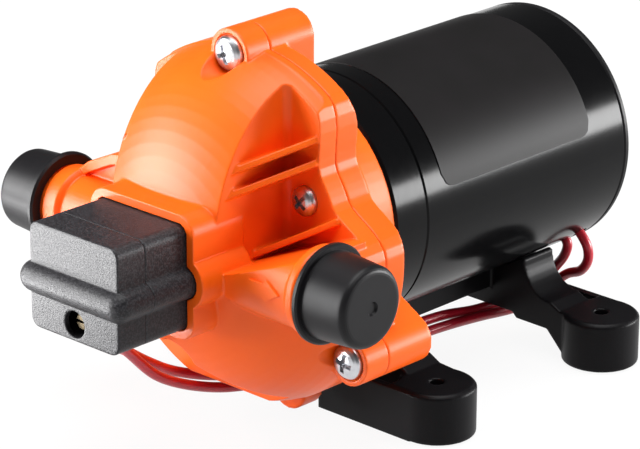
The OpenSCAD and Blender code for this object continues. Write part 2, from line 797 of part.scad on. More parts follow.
piston_z = boss_z + sheet_t + 0.2;
module pistons() {
    color(pale_plastic) on_wobble() for (a = lobe_dirs) rotate(a) translate([piston_circle, 0, piston_z])
        difference() {
            chamfered(piston_r, 0, piston_t, 0.2, 0.5);
            translate([0, 0, -1]) cylinder(h = piston_t + 2, r = piston_screw_r + fit);
        }
}

module piston_screws() {
    color(bright) on_wobble() for (a = lobe_dirs) rotate(a)
        translate([piston_circle, 0, piston_z + piston_t - piston_screw_len])
            cylinder(h = piston_screw_len, r = piston_screw_r);
}

// One race of a ball bearing with its groove, centred on z = 0
ball_gap = 0.05;
race_gap = 1.1;
module race(r_in, r_out, half, ball_circle, ball_r) {
    difference() {
        ring(r_in, r_out, -half, half);
        rotate_extrude() translate([ball_circle, 0]) circle(ball_r + ball_gap);
    }
}
module balls(count, ball_circle, ball_r) {
    for (i = [0 : count - 1]) rotate(360 * i / count) translate([ball_circle, 0, 0]) sphere(ball_r);
}
cam_ball_r = 1.9;
cam_ball_circle = (cam_bore_r + cam_r) / 2;
cam_balls = 12;
module cam_bearing_inner() {
    color(bright) on_wobble()
        race(cam_bore_r + fit, cam_ball_circle - race_gap, cam_half, cam_ball_circle, cam_ball_r);
}
module cam_bearing_outer() {
    color(bright) on_wobble()
        race(cam_ball_circle + race_gap, cam_r, cam_half, cam_ball_circle, cam_ball_r);
}
module cam_bearing_balls() {
    color(bright) on_wobble() balls(cam_balls, cam_ball_circle, cam_ball_r);
}

hub_rim_t = 1.6;
module wobble_hub() {
    color(grey_iron) difference() {
        on_wobble() translate([0, 0, -cam_half - hub_rim_t]) {
            cylinder(h = cam_half + hub_rim_t + web_z + 1, r = cam_bore_r);
            cylinder(h = hub_rim_t - 0.05, r = cam_bore_r + hub_rim_t);
        }
        along_motor() translate([0, 0, st_ring]) cylinder(h = 40, r = shaft_d / 2 + fit);
    }
}

// Motor flange with the front bearing
bearing_in = 2.5;
st_bearing = st_ring + bearing_in;
flange_spigot = 6;
flange_web = 3.6;
flange_recess = 1.9;
module motor_flange() {
    bore = can_bore - slip;
    color(gloss_black) along_motor() difference() {
        rotate_extrude() polygon([
            [0, st_ring + 1], [bore - 3, st_ring - flange_spigot], [bore, st_ring - flange_spigot],
            [bore, st_ring], [can_r - 0.5, st_ring], [can_r, st_ring + 0.5],
            [can_r, st_rear - 0.8], [can_r - 0.8, st_rear], [0, st_rear]]);
        // Hollow behind the web, round the bearing boss
        ring(bearing_d / 2 + 4, pocket_circle - 5, st_ring - 10, st_rear - flange_web);
        translate([0, 0, st_ring - 10])
            cylinder(h = 10 + bearing_in + bearing_w + 0.1, r = bearing_d / 2 + fit);
        translate([0, 0, st_ring]) cylinder(h = 2 * flange_len, r = shaft_d / 2 + 3);
        // Recess in front, where the wobble drive turns
        translate([0, 0, st_rear - flange_recess]) cylinder(h = flange_recess + 1, r = crank_r);
        for (a = waist_dirs) rotate(a) translate([pocket_circle, 0, st_rear - 10])
            cylinder(h = 12, r = outer_shank_r + fit);
    }
}

ball_r = 1.95;
ball_circle = (shaft_d + bearing_d) / 4;
front_balls = 8;
module front_bearing_outer() {
    color(bright) along_motor() translate([0, 0, st_bearing + bearing_w / 2])
        race(ball_circle + race_gap, bearing_d / 2, bearing_w / 2, ball_circle, ball_r);
}
module front_bearing_inner() {
    color(bright) along_motor() translate([0, 0, st_bearing + bearing_w / 2])
        race(shaft_d / 2 + fit, ball_circle - race_gap, bearing_w / 2, ball_circle, ball_r);
}
module front_bearing_balls() {
    color(bright) along_motor() translate([0, 0, st_bearing + bearing_w / 2])
        balls(front_balls, ball_circle, ball_r);
}

// Can, end cap and what they hold
lead_dirs = [-50, -59.5];
lead_entry_st = [3.9, 4.4];
lead_entry_r = lead_d / 2 + 0.9;
bracket_screw_st = [can_len * 0.28, can_len * 0.72];
bracket_shank_r = 2;
module motor_can() {
    color(soft_black) along_motor() difference() {
        rotate_extrude() polygon([
            [can_bore, end_cap_t], [can_r - 0.5, end_cap_t], [can_r, end_cap_t + 0.5],
            [can_r, st_ring - 0.5], [can_r - 0.5, st_ring], [can_bore, st_ring]]);
        for (i = [0, 1]) rotate(lead_dirs[i]) translate([can_bore - 2, 0, lead_entry_st[i] + end_cap_t])
            rotate([0, 90, 0]) cylinder(h = 10, r = lead_entry_r);
        for (s = bracket_screw_st) translate([0, -can_r - 2, s]) rotate([-90, 0, 0])
            cylinder(h = 10, r = bracket_shank_r + fit);
    }
}

bush_r = 8;
bush_len = 8;
spigot_len = 2.2;
module end_cap() {
    color(soft_black) along_motor() difference() {
        union() {
            rotate_extrude() polygon([
                [0, 0], [can_r - 1.2, 0], [can_r, 1], [can_r, end_cap_t - 0.5],
                [can_r - 0.5, end_cap_t], [0, end_cap_t]]);
            translate([0, 0, end_cap_t - 1]) cylinder(h = spigot_len + 1, r = can_bore - slip);
            translate([0, 0, 1]) cylinder(h = end_cap_t + bush_len - 0.5, r = bush_r + 3);
        }
        translate([0, 0, end_cap_t]) ring(bush_r + 3, can_bore - 3, 0, 20);
        translate([0, 0, end_cap_t]) cylinder(h = 20, r = bush_r + fit);
        ring(can_r - 12, can_r - 9, -1, 0.6);
        for (i = [0, 1]) rotate(lead_dirs[i]) translate([can_bore - 8, 0, lead_entry_st[i] + end_cap_t])
            rotate([0, 90, 0]) cylinder(h = 16, r = lead_entry_r);
    }
}

module rear_bush() {
    color(brass) along_motor() ring(shaft_d / 2 + run, bush_r, end_cap_t + 0.2, end_cap_t + bush_len);
}

module lead_grommets() {
    color(rubber) along_motor() for (i = [0, 1]) rotate(lead_dirs[i])
        translate([can_bore + 0.1, 0, lead_entry_st[i] + end_cap_t]) rotate([0, 90, 0])
            ring(lead_d / 2 + slip, lead_entry_r - fit, 0, can_wall - 0.4);
}

magnet_t = 7.1;
magnet_half = 60;
module magnets() {
    color(grey_iron) along_motor() for (m = [0, 180]) rotate(m) intersection() {
        ring(can_bore - magnet_t, can_bore - slip, st_core - 4, st_core + core_len + 4);
        linear_extrude(can_len) polygon(concat([[0, 0]],
            [for (q = [-3 : 2 : 3]) can_d * [cos(magnet_half * q / 3), sin(magnet_half * q / 3)]]));
    }
}

module motor_label() {
    st0 = (can_len - label_len) / 2 + 5;
    color(label_black) along_motor() intersection() {
        ring(can_r + 0.02, can_r + label_t, st0, st0 + label_len);
        linear_extrude(can_len) polygon(concat([[0, 0]],
            [for (q = [0 : 4]) let (a = label_low + label_wrap * q / 4) can_d * [cos(a), sin(a)]]));
    }
}

// Rotor
st_core = 34;
shaft_end = 4;
slot_r = 3;
slot_circle = core_d / 2 - 5.4;
module motor_shaft() {
    color(bright) along_motor()
        chamfered(shaft_d / 2, shaft_end, st_wobble + cam_half + 1.5, 0.6, 0.6);
}
module armature_core() {
    color(grey_iron) along_motor() translate([0, 0, st_core]) difference() {
        cylinder(h = core_len, d = core_d);
        translate([0, 0, -1]) cylinder(h = core_len + 2, r = shaft_d / 2 + fit);
        for (i = [0 : core_slots - 1]) rotate(360 * i / core_slots) {
            translate([slot_circle, 0, -1]) cylinder(h = core_len + 2, r = slot_r);
            translate([slot_circle, -0.9, -1]) cube([12, 1.8, core_len + 2]);
        }
    }
}
overhang = 6.5;
winding_in = 9;
module armature_windings() {
    color(copper) along_motor() translate([0, 0, st_core]) {
        for (z = [-overhang, core_len + 0.1]) translate([0, 0, z]) rotate_extrude()
            polygon([
                [winding_in, 0], [slot_circle + 1, 0], [slot_circle + 2.6, 1.6],
                [slot_circle + 2.6, overhang - 1.7],
                [slot_circle + 1, overhang - 0.1], [winding_in, overhang - 0.1]]);
        for (i = [0 : core_slots - 1]) rotate(360 * i / core_slots) translate([slot_circle, 0, -overhang + 1])
            cylinder(h = core_len + 2 * overhang - 2, r = slot_r - 0.2);
    }
}
commutator_len = 12;
st_commutator = st_core - overhang - commutator_len - 0.5;
module commutator() {
    color(copper) along_motor() translate([0, 0, st_commutator]) difference() {
        cylinder(h = commutator_len, d = commutator_d);
        translate([0, 0, -1]) cylinder(h = commutator_len + 2, r = shaft_d / 2 + fit);
        for (i = [0 : core_slots - 1]) rotate(360 * i / core_slots)
            translate([commutator_d / 2 - 1, -0.3, -1]) cube([3, 0.6, commutator_len]);
    }
}

// Brush gear
plate_z = end_cap_t + spigot_len + 0.05;
brush_plate_t = 2;
brush_w = 5;
brush_h = 6;
brush_mid = st_commutator + commutator_len / 2;
holder_in = commutator_d / 2 + 1.5;
holder_out = holder_in + 14;
module brush_plate() {
    color(brown_board) along_motor() difference() {
        union() {
            ring(bush_r + 3.4, can_bore - 0.4, plate_z, plate_z + brush_plate_t);
            for (m = [0, 180]) rotate(m) translate([holder_in, -brush_w / 2 - 1.4, plate_z])
                cube([holder_out - holder_in, brush_w + 2.8, brush_mid + brush_h / 2 + 1.4 - plate_z]);
        }
        for (m = [0, 180]) rotate(m)
            translate([holder_in - 1, -brush_w / 2 - 0.1, brush_mid - brush_h / 2 - 0.1])
                cube([holder_out - holder_in - 0.4, brush_w + 0.2, brush_h + 0.2]);
        for (i = [0, 1]) rotate(lead_dirs[i]) translate([can_bore - 9, -lead_entry_r - 0.4, plate_z - 1])
            cube([20, 2 * lead_entry_r + 0.8, brush_plate_t + 2]);
    }
}
brush_len = 8;
module brushes() {
    color(carbon) along_motor() for (m = [0, 180]) rotate(m)
        translate([commutator_d / 2 + 0.1, -brush_w / 2, brush_mid - brush_h / 2])
            cube([brush_len, brush_w, brush_h]);
}
brush_spring_r = 1.7;
brush_spring_wire = 0.5;
brush_spring_turns = 4;
brush_spring_len = holder_out - 1.4 - commutator_d / 2 - 0.1 - brush_len - 0.4;
brush_spring_pitch = (brush_spring_len - brush_spring_wire) / brush_spring_turns;
echo(brush_spring_gap = least_gap(brush_spring_r, brush_spring_pitch, brush_spring_turns, brush_spring_wire));
module brush_springs() {
    color(bright) along_motor() for (m = [0, 180]) rotate(m)
        translate([commutator_d / 2 + brush_len + 0.3 + brush_spring_wire / 2, 0, brush_mid])
            rotate([0, 90, 0])
                coil(brush_spring_r, brush_spring_pitch, brush_spring_turns, brush_spring_wire);
}

// Port cap on the right, with local Z pointing out of the port
cap_seat = port_seat + loose;
cap_end = port_end + 0.4 + cap_end_t;
cap_body_r = thread_r + 1.9;
cap_tip_r = thread_r + 1.1;
cap_round = 2.2;
module port_cap() {
    tip = [for (a = [0 : 15 : 90])
        [cap_tip_r - cap_round + cap_round * cos(a), cap_end - cap_round + cap_round * sin(a)]];
    difference() {
        rotate_extrude() polygon(concat(
            [[0, cap_seat], [cap_flange_r - 0.6, cap_seat], [cap_flange_r, cap_seat + 0.6],
                [cap_flange_r, cap_seat + 1.5], [cap_flange_r - 0.5, cap_seat + 2],
                [cap_body_r, cap_seat + 2]],
            tip, [[2, cap_end], [1.6, cap_end - 0.6], [0, cap_end - 0.6]]));
        translate([0, 0, cap_seat - 1]) cylinder(h = port_end + 0.4 - cap_seat + 1, r = thread_r + slip);
    }
}
module outlet_cap() {
    color(soft_black) along_motor() translate([0, 0, st_port]) rotate([0, 90, 0]) port_cap();
}
module inlet_cap() {
    color(soft_black) along_motor() translate([0, 0, st_port]) rotate([0, -90, 0]) port_cap();
}

// Bracket
foot_x = foot_pitch_x / 2;
foot_y = foot_pitch_y / 2;
block_x = foot_x - 8.4;
deck_h = 5;
wall_t = 2.6;
fin_x = 21.6;
fin_top = axis_h - 30.4;
sweep_r = 10.4;
spine_w = 10;
spine_drop = 5.6;
wire_gap = [10, 20];
saddle_half = 6.6;
saddle_shift = [4.3, 2.2];

// Outline of a saddle across the pump, right half, with the slanted web that runs down to the foot
slant_x = [18, 20, 32, 38.6];
slant_z = [8.2, 8, 1.2];
module saddle_outline() {
    deck = foot_h - deck_h;
    arc = [for (a = [270 : -10 : 180]) [fin_x + 1 + sweep_r + sweep_r * cos(a), fin_top + sweep_r * sin(a)]];
    polygon(concat(
        [[-1, deck], [slant_x[0], deck], [slant_x[1], slant_z[0]], [slant_x[2], slant_z[1]],
            [slant_x[3], slant_z[2]], [foot_x, slant_z[2]], [foot_x, foot_h - 1], [block_x, foot_h]], arc,
        [[fin_x, fin_top + 0.4], [-1, fin_top + 0.4]]));
}

// One foot with the block that joins it to the saddle, whose inner face is given
module foot(inner) {
    chamfered(foot_r, 0, foot_h, 0.5, 1);
    translate([block_x - foot_x, -foot_r, foot_h - deck_h])
        cube([foot_x - block_x, foot_r + inner, deck_h - 0.6]);
    translate([block_x - foot_x, 1 - foot_r, foot_h - deck_h])
        cube([foot_x - block_x, foot_r - 1 + min(inner, foot_r - 1), deck_h]);
}

// One crossbar: its outer wall is on the -Y side, its saddle is shifted to +Y
module crossbar(gap, shift) {
    for (m = [0, 1]) mirror([m, 0, 0]) {
        translate([foot_x, 0, 0]) foot(shift + saddle_half);
        // Outer wall down to the mounting plane
        translate([gap, -foot_r, 0]) cube([foot_x - gap, wall_t, foot_h - 0.6]);
        translate([0, shift + saddle_half, 0]) rotate([90, 0, 0]) linear_extrude(2 * saddle_half)
            saddle_outline();
    }
    // The wall's head over the gap for the leads
    translate([-gap - 1, -foot_r, foot_h - 4]) cube([2 * gap + 2, wall_t, 3.4]);
}

module bracket() {
    color(soft_black) difference() {
        union() {
            translate([0, -foot_y, 0]) crossbar(wire_gap[0], saddle_shift[0]);
            translate([0, foot_y, 0]) mirror([0, 1, 0]) crossbar(wire_gap[1], saddle_shift[1]);
            translate([-spine_w, -foot_y, can_clear - spine_drop])
                cube([2 * spine_w, 2 * foot_y, spine_drop + 3]);
        }
        along_motor() translate([0, 0, -20]) cylinder(h = can_len + flange_len + 20.5, r = can_r + slip);
        for (x = [-1, 1]) for (y = [-1, 1]) translate([x * foot_x, y * foot_y, -1])
            cylinder(h = foot_h + 2, d = foot_hole_d);
        for (s = bracket_screw_st) translate([0, can_rear_y - s, 0]) {
            cylinder(h = can_clear + 5, r = bracket_shank_r + slip);
            cylinder(h = can_clear - spine_drop + 2.6, r = bracket_head_r + 0.4);
        }
    }
}

bracket_head_r = 3.8;
module bracket_screws() {
    color(bright) for (s = bracket_screw_st) translate([0, can_rear_y - s, can_clear - spine_drop + 2.6])
        rotate([180, 0, 0]) pan_screw(bracket_head_r, 2.3, bracket_shank_r, can_wall + 4.6);
}

// Red leads: tubes swept along chosen points, from the switch box to the can
lead_sides = 8;
lead_steps = 2;
low_route = [
    [-8, -109.6, 44.3], [-8, -109.6, 38.6], [-9, -107, 32.6], [-11, -99.5, 25.3], [-12, -90, 16.6],
    [-12, -79, 10.4], [-10.5, -66, 5.8], [-6, -55, 4.9], [-1, -45, 4.8], [3, -33, 5.8], [7, -19, 8],
    [9.5, -5, 9.3], [10, 9, 8.8], [10, 23, 7.4], [10.5, 36, 6], [12, 46, 6.6], [14.2, 51.5, 11],
    [18, 53, 14.6], [23, 53, 17], [26, 52.6, 21.2], [26, 52, 26]];
high_route = [
    [-13, -109.6, 44.3], [-13, -109.6, 37.6], [-14.5, -105, 30.4], [-17.5, -95, 23.4], [-19.5, -85, 16.6],
    [-20, -75, 10.8], [-17, -64, 7], [-11.5, -54, 6], [-6.5, -45, 6], [-2, -33, 7.2], [2.5, -19, 9.6],
    [6, -5, 11.1], [7, 9, 10.8], [7, 23, 8.5], [7.4, 36, 7.7], [8.8, 45, 8.2], [11.4, 50, 12],
    [14.6, 51.7, 16.6], [17.9, 51.4, 20.9], [19.34, 51, 24.87]];
function entry_point(i) = let (a = lead_dirs[i], r = can_bore + 0.6)
    [r * cos(a), can_rear_y - lead_entry_st[i] - end_cap_t, axis_h + r * sin(a)];
function spline(p, i, t) =
    let (n = len(p) - 1, a = p[max(i - 1, 0)], b = p[i], c = p[min(i + 1, n)], d = p[min(i + 2, n)])
        b + 0.5 * t * ((c - a) + t * ((2 * a - 5 * b + 4 * c - d) + t * (3 * b - a - 3 * c + d)));
function refine(p) = concat(
    [for (i = [0 : len(p) - 2]) for (s = [0 : lead_steps - 1]) spline(p, i, s / lead_steps)],
    [p[len(p) - 1]]);
function unit(v) = v / norm(v);
module lead(route) {
    path = refine(route);
    n = len(path) - 1;
    points = [for (i = [0 : n])
        let (t = unit(path[min(i + 1, n)] - path[max(i - 1, 0)]),
            u = unit([1, 0, 0] - t[0] * t), v = cross(t, u))
            for (j = [0 : lead_sides - 1]) let (b = 360 * j / lead_sides)
                path[i] + lead_d / 2 * (cos(b) * u + sin(b) * v)];
    sides = [for (i = [0 : n - 1]) for (j = [0 : lead_sides - 1])
        let (k = (j + 1) % lead_sides, p = i * lead_sides, q = p + lead_sides)
            each [[p + j, q + k, q + j], [p + j, p + k, q + k]]];
    last = n * lead_sides;
    ends = [for (j = [1 : lead_sides - 2]) each [[0, j + 1, j], [last, last + j, last + j + 1]]];
    polyhedron(points, concat(sides, ends));
}
module red_lead_low() {
    color(wire_red) lead(concat(low_route, [entry_point(0)]));
}
module red_lead_high() {
    color(wire_red) lead(concat(high_route, [entry_point(1)]));
}

front_housing();
rear_housing();
housing_screws();
motor_screws();
switch_body();
switch_cover();
switch_screws();
micro_switch();
lever_pin();
switch_diaphragm();
valve_plate();
valve_seal();
inlet_valves();
outlet_valve();
pump_diaphragm();
motor_flange();
motor_can();
end_cap();
motor_label();
magnets();
front_bearing_outer();
front_bearing_balls();
rear_bush();
brush_plate();
brushes();
brush_springs();
lead_grommets();
bracket();
bracket_screws();
red_lead_low();
red_lead_high();
motor_shaft();
armature_core();
armature_windings();
commutator();
front_bearing_inner();
wobble_hub();
cam_bearing_inner();
wobble_plate();
cam_bearing_outer();
cam_bearing_balls();
pistons();
piston_screws();
inlet_cap();
outlet_cap();
switch_lever();
switch_plunger();
switch_button();
pressure_spring();
spring_seat();
adjusting_screw();
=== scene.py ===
import math
import bmesh
import bpy
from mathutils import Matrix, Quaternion, Vector


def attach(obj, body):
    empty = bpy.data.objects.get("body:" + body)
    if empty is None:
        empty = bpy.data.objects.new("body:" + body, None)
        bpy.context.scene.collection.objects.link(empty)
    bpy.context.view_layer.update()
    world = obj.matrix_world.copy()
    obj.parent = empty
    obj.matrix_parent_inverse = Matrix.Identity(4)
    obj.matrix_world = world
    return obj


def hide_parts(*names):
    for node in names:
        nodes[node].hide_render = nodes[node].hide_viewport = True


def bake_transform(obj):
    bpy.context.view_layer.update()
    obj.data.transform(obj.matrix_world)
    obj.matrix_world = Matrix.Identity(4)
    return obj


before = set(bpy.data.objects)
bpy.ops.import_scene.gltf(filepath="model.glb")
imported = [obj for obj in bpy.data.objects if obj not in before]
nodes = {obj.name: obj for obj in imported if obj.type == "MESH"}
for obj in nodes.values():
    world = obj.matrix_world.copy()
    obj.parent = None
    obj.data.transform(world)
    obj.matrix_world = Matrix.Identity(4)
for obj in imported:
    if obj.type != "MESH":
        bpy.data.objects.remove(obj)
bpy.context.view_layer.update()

# Caravan water pump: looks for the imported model, in metres, in the CAD frame
scene = bpy.context.scene
scene.view_settings.view_transform = "Standard"
mm = 0.001
print("frame loaded with", len(nodes), "nodes")


def hexToLinear(code):
    channels = [int(code[i:i + 2], 16) / 255 for i in (1, 3, 5)]
    return [c / 12.92 if c <= 0.04045 else ((c + 0.055) / 1.055) ** 2.4 for c in channels] + [1.0]


def addNode(tree, kind, settings=None, links=None):
    node = tree.nodes.new(kind)
    for key, value in (settings or {}).items():
        if isinstance(key, str) and key in node.bl_rna.properties:
            setattr(node, key, value)
        else:
            node.inputs[key].default_value = value
    for key, source in (links or {}).items():
        tree.links.new(source, node.inputs[key])
    return node


def startMaterial(name):
    material = bpy.data.materials.new(name)
    material.use_nodes = True
    tree = material.node_tree
    tree.nodes.clear()
    shader = addNode(tree, "ShaderNodeBsdfPrincipled")
    addNode(tree, "ShaderNodeOutputMaterial", links={"Surface": shader.outputs[0]})
    place = addNode(tree, "ShaderNodeTexCoord").outputs["Object"]
    return material, tree, shader, place


mottleSpan, fleckSpan = (0.3, 0.7), (0.42, 0.7)  # stretches of the noise that the tints spread over


# A finish is a dictionary: colours, gloss, and the sizes in millimetres of its mottle and grain
def makeFinish(look):
    material, tree, shader, place = startMaterial(look["name"])
    for socket, value in look.get("shader", {}).items():
        shader.inputs[socket].default_value = value
    mottle = addNode(tree, "ShaderNodeTexNoise",
                     {"Scale": 1 / (look["mottleMm"] * mm), "Detail": 3.0}, {"Vector": place})
    grain = addNode(tree, "ShaderNodeTexNoise",
                    {"Scale": 1 / (look["grainMm"] * mm), "Detail": 2.0, "Roughness": 0.6},
                    {"Vector": place})
    spread = addNode(tree, "ShaderNodeMapRange",
                     {"From Min": mottleSpan[0], "From Max": mottleSpan[1]},
                     {"Value": mottle.outputs["Fac"]})
    tint = addNode(tree, "ShaderNodeMix",
                   {"data_type": "RGBA", 6: hexToLinear(look["colour"]), 7: hexToLinear(look["shade"])},
                   {0: spread.outputs[0]})
    speck = addNode(tree, "ShaderNodeMapRange",
                    {"From Min": fleckSpan[0], "From Max": fleckSpan[1], "To Max": look["fleck"]},
                    {"Value": grain.outputs["Fac"]})
    colour = addNode(tree, "ShaderNodeMix",
                     {"data_type": "RGBA", 7: hexToLinear(look["fleckColour"])},
                     {0: speck.outputs[0], 6: tint.outputs[2]})
    tree.links.new(colour.outputs[2], shader.inputs["Base Color"])
    gloss = addNode(tree, "ShaderNodeMapRange",
                    {"To Min": look["roughness"] - look["glossSpread"],
                     "To Max": look["roughness"] + look["glossSpread"]}, {"Value": grain.outputs["Fac"]})
    tree.links.new(gloss.outputs[0], shader.inputs["Roughness"])
    relief = addNode(tree, "ShaderNodeBump",
                     {"Strength": look["relief"], "Distance": look["reliefMm"] * mm},
                     {"Height": grain.outputs["Fac"]})
    tree.links.new(relief.outputs[0], shader.inputs["Normal"])
    return material


# Injection moulded ABS: satin orange, with a soft broad sheen and hardly any grain
orangeAbs = makeFinish({
    "name": "orangeAbsMoulded", "colour": "#f6620e", "shade": "#f35c0a",
    "mottleMm": 22, "grainMm": 0.6, "fleck": 0.06, "fleckColour": "#f96e26",
    "roughness": 0.38, "glossSpread": 0.03, "relief": 0.12, "reliefMm": 0.02,
    "shader": {"Specular IOR Level": 0.28}})

# Spark-eroded ABS: black box with a fine matt grain, drawn a little coarse so that it shows
grainedAbs = makeFinish({
    "name": "blackAbsGrained", "colour": "#1c1b1e", "shade": "#171619",
    "mottleMm": 14, "grainMm": 0.58, "fleck": 0.6, "fleckColour": "#4a494d",
    "roughness": 0.48, "glossSpread": 0.16, "relief": 1.0, "reliefMm": 0.1,
    "shader": {"Specular IOR Level": 0.28}})

# Moulded polyethylene: soft black caps with a waxy sheen
blackCap = makeFinish({
    "name": "blackPolyethyleneMoulded", "colour": "#171618", "shade": "#131214",
    "mottleMm": 9, "grainMm": 0.5, "fleck": 0.1, "fleckColour": "#242326",
    "roughness": 0.42, "glossSpread": 0.05, "relief": 0.2, "reliefMm": 0.03,
    "shader": {"Specular IOR Level": 0.2}})

# Glass-filled nylon: the bracket's satin black, slightly cloudy
nylonBlack = makeFinish({
    "name": "blackNylonGlassFilled", "colour": "#0f0e10", "shade": "#0b0a0c",
    "mottleMm": 12, "grainMm": 0.7, "fleck": 0.12, "fleckColour": "#1c1b1e",
    "roughness": 0.4, "glossSpread": 0.06, "relief": 0.25, "reliefMm": 0.03,
    "shader": {"Specular IOR Level": 0.11}})

# Gloss enamel on rolled steel: deep black with clear reflections and a trace of orange peel
glossEnamel = makeFinish({
    "name": "blackEnamelSprayed", "colour": "#0b0b0c", "shade": "#080809",
    "mottleMm": 30, "grainMm": 2.2, "fleck": 0.05, "fleckColour": "#121213",
    "roughness": 0.17, "glossSpread": 0.02, "relief": 0.05, "reliefMm": 0.02,
    "shader": {"Specular IOR Level": 0.12}})

# Polyester label film: bare, dark and satin against the gloss can
labelFilm = makeFinish({
    "name": "darkLabelFilmSatin", "colour": "#181617", "shade": "#141313",
    "mottleMm": 18, "grainMm": 0.5, "fleck": 0.1, "fleckColour": "#1f1e1f",
    "roughness": 0.46, "glossSpread": 0.04, "relief": 0.1, "reliefMm": 0.01,
    "shader": {"Specular IOR Level": 0.14}})

# Extruded PVC: crimson leads with a smooth skin
redPvc = makeFinish({
    "name": "crimsonPvcExtruded", "colour": "#c4182f", "shade": "#b41228",
    "mottleMm": 6, "grainMm": 0.8, "fleck": 0.08, "fleckColour": "#cc2e42",
    "roughness": 0.32, "glossSpread": 0.04, "relief": 0.1, "reliefMm": 0.02,
    "shader": {"IOR": 1.53}})

# Bright zinc on cold-headed steel: soft silvery heads with fine handling marks
zincSteel = makeFinish({
    "name": "zincSteelBright", "colour": "#d2d3d6", "shade": "#c2c3c8",
    "mottleMm": 1.6, "grainMm": 0.25, "fleck": 0.1, "fleckColour": "#a9aab0",
    "roughness": 0.3, "glossSpread": 0.06, "relief": 0.15, "reliefMm": 0.02,
    "shader": {"Metallic": 1.0}})

# Ground bearing steel: grey and even
groundSteel = makeFinish({
    "name": "bearingSteelGround", "colour": "#b4b6ba", "shade": "#a7a9ae",
    "mottleMm": 3, "grainMm": 0.3, "fleck": 0.1, "fleckColour": "#8f9196",
    "roughness": 0.24, "glossSpread": 0.05, "relief": 0.1, "reliefMm": 0.01,
    "shader": {"Metallic": 1.0}})

# Turned brass: warm, with tool marks too fine to see
turnedBrass = makeFinish({
    "name": "brassTurned", "colour": "#c9a45a", "shade": "#b8924a",
    "mottleMm": 2, "grainMm": 0.3, "fleck": 0.1, "fleckColour": "#e0c27e",
    "roughness": 0.25, "glossSpread": 0.06, "relief": 0.1, "reliefMm": 0.01,
    "shader": {"Metallic": 1.0}})

# Brass darkened to paint the shade of the deep adjusting hole: dark and dull, so that only a glint shows
# there
holeShadedBrass = makeFinish({
    "name": "brassDarkenedAsHoleShade", "colour": "#4c4436", "shade": "#3a3328",
    "mottleMm": 1.2, "grainMm": 0.3, "fleck": 0.3, "fleckColour": "#6b604c",
    "roughness": 0.4, "glossSpread": 0.08, "relief": 0.3, "reliefMm": 0.03,
    "shader": {"Metallic": 1.0}})

# Enamelled copper: reddish windings and commutator
copperWire = makeFinish({
    "name": "copperEnamelled", "colour": "#b0622f", "shade": "#8f4a20",
    "mottleMm": 1.2, "grainMm": 0.4, "fleck": 0.2, "fleckColour": "#cf8650",
    "roughness": 0.34, "glossSpread": 0.06, "relief": 0.4, "reliefMm": 0.08,
    "shader": {"Metallic": 1.0}})

# Sintered ferrite: dull grey magnets
ferrite = makeFinish({
    "name": "ferriteSintered", "colour": "#3a3a3d", "shade": "#2f2f32",
    "mottleMm": 3, "grainMm": 0.3, "fleck": 0.2, "fleckColour": "#4a4a4e",
    "roughness": 0.6, "glossSpread": 0.08, "relief": 0.3, "reliefMm": 0.03})

# Laminated steel: the armature core's plain grey stack
coreSteel = makeFinish({
    "name": "coreSteelLaminated", "colour": "#6a6c70", "shade": "#595b60",
    "mottleMm": 4, "grainMm": 0.5, "fleck": 0.2, "fleckColour": "#7d8086",
    "roughness": 0.42, "glossSpread": 0.08, "relief": 0.3, "reliefMm": 0.04,
    "shader": {"Metallic": 1.0}})

# Moulded rubber: matt black seals and sheets
blackRubber = makeFinish({
    "name": "blackRubberMoulded", "colour": "#222224", "shade": "#1b1b1d",
    "mottleMm": 5, "grainMm": 0.4, "fleck": 0.1, "fleckColour": "#2e2e31",
    "roughness": 0.68, "glossSpread": 0.06, "relief": 0.3, "reliefMm": 0.03})

# Silicone rubber: brick red valves
redSilicone = makeFinish({
    "name": "brickSiliconeMoulded", "colour": "#8a3b2c", "shade": "#7a3226",
    "mottleMm": 4, "grainMm": 0.4, "fleck": 0.1, "fleckColour": "#9c4a39",
    "roughness": 0.55, "glossSpread": 0.05, "relief": 0.2, "reliefMm": 0.02})

# Natural acetal: milky white inner mouldings
naturalAcetal = makeFinish({
    "name": "naturalAcetalMoulded", "colour": "#e6e3da", "shade": "#dcd8cd",
    "mottleMm": 8, "grainMm": 0.5, "fleck": 0.06, "fleckColour": "#f0eee7",
    "roughness": 0.38, "glossSpread": 0.04, "relief": 0.1, "reliefMm": 0.02})

# Phenolic board: brown brush plate with a paper fleck
phenolicBoard = makeFinish({
    "name": "phenolicBoardPressed", "colour": "#7a5230", "shade": "#684323",
    "mottleMm": 3, "grainMm": 0.4, "fleck": 0.25, "fleckColour": "#93683f",
    "roughness": 0.5, "glossSpread": 0.06, "relief": 0.2, "reliefMm": 0.03})

# Pressed carbon: black brushes
pressedCarbon = makeFinish({
    "name": "carbonPressed", "colour": "#2c2c2e", "shade": "#242426",
    "mottleMm": 2, "grainMm": 0.3, "fleck": 0.2, "fleckColour": "#3d3d40",
    "roughness": 0.5, "glossSpread": 0.08, "relief": 0.3, "reliefMm": 0.03})

# Thermoplastic button: small red moulding
redButton = makeFinish({
    "name": "redNylonMoulded", "colour": "#a33024", "shade": "#96291e",
    "mottleMm": 3, "grainMm": 0.4, "fleck": 0.06, "fleckColour": "#b54236",
    "roughness": 0.35, "glossSpread": 0.04, "relief": 0.1, "reliefMm": 0.02})

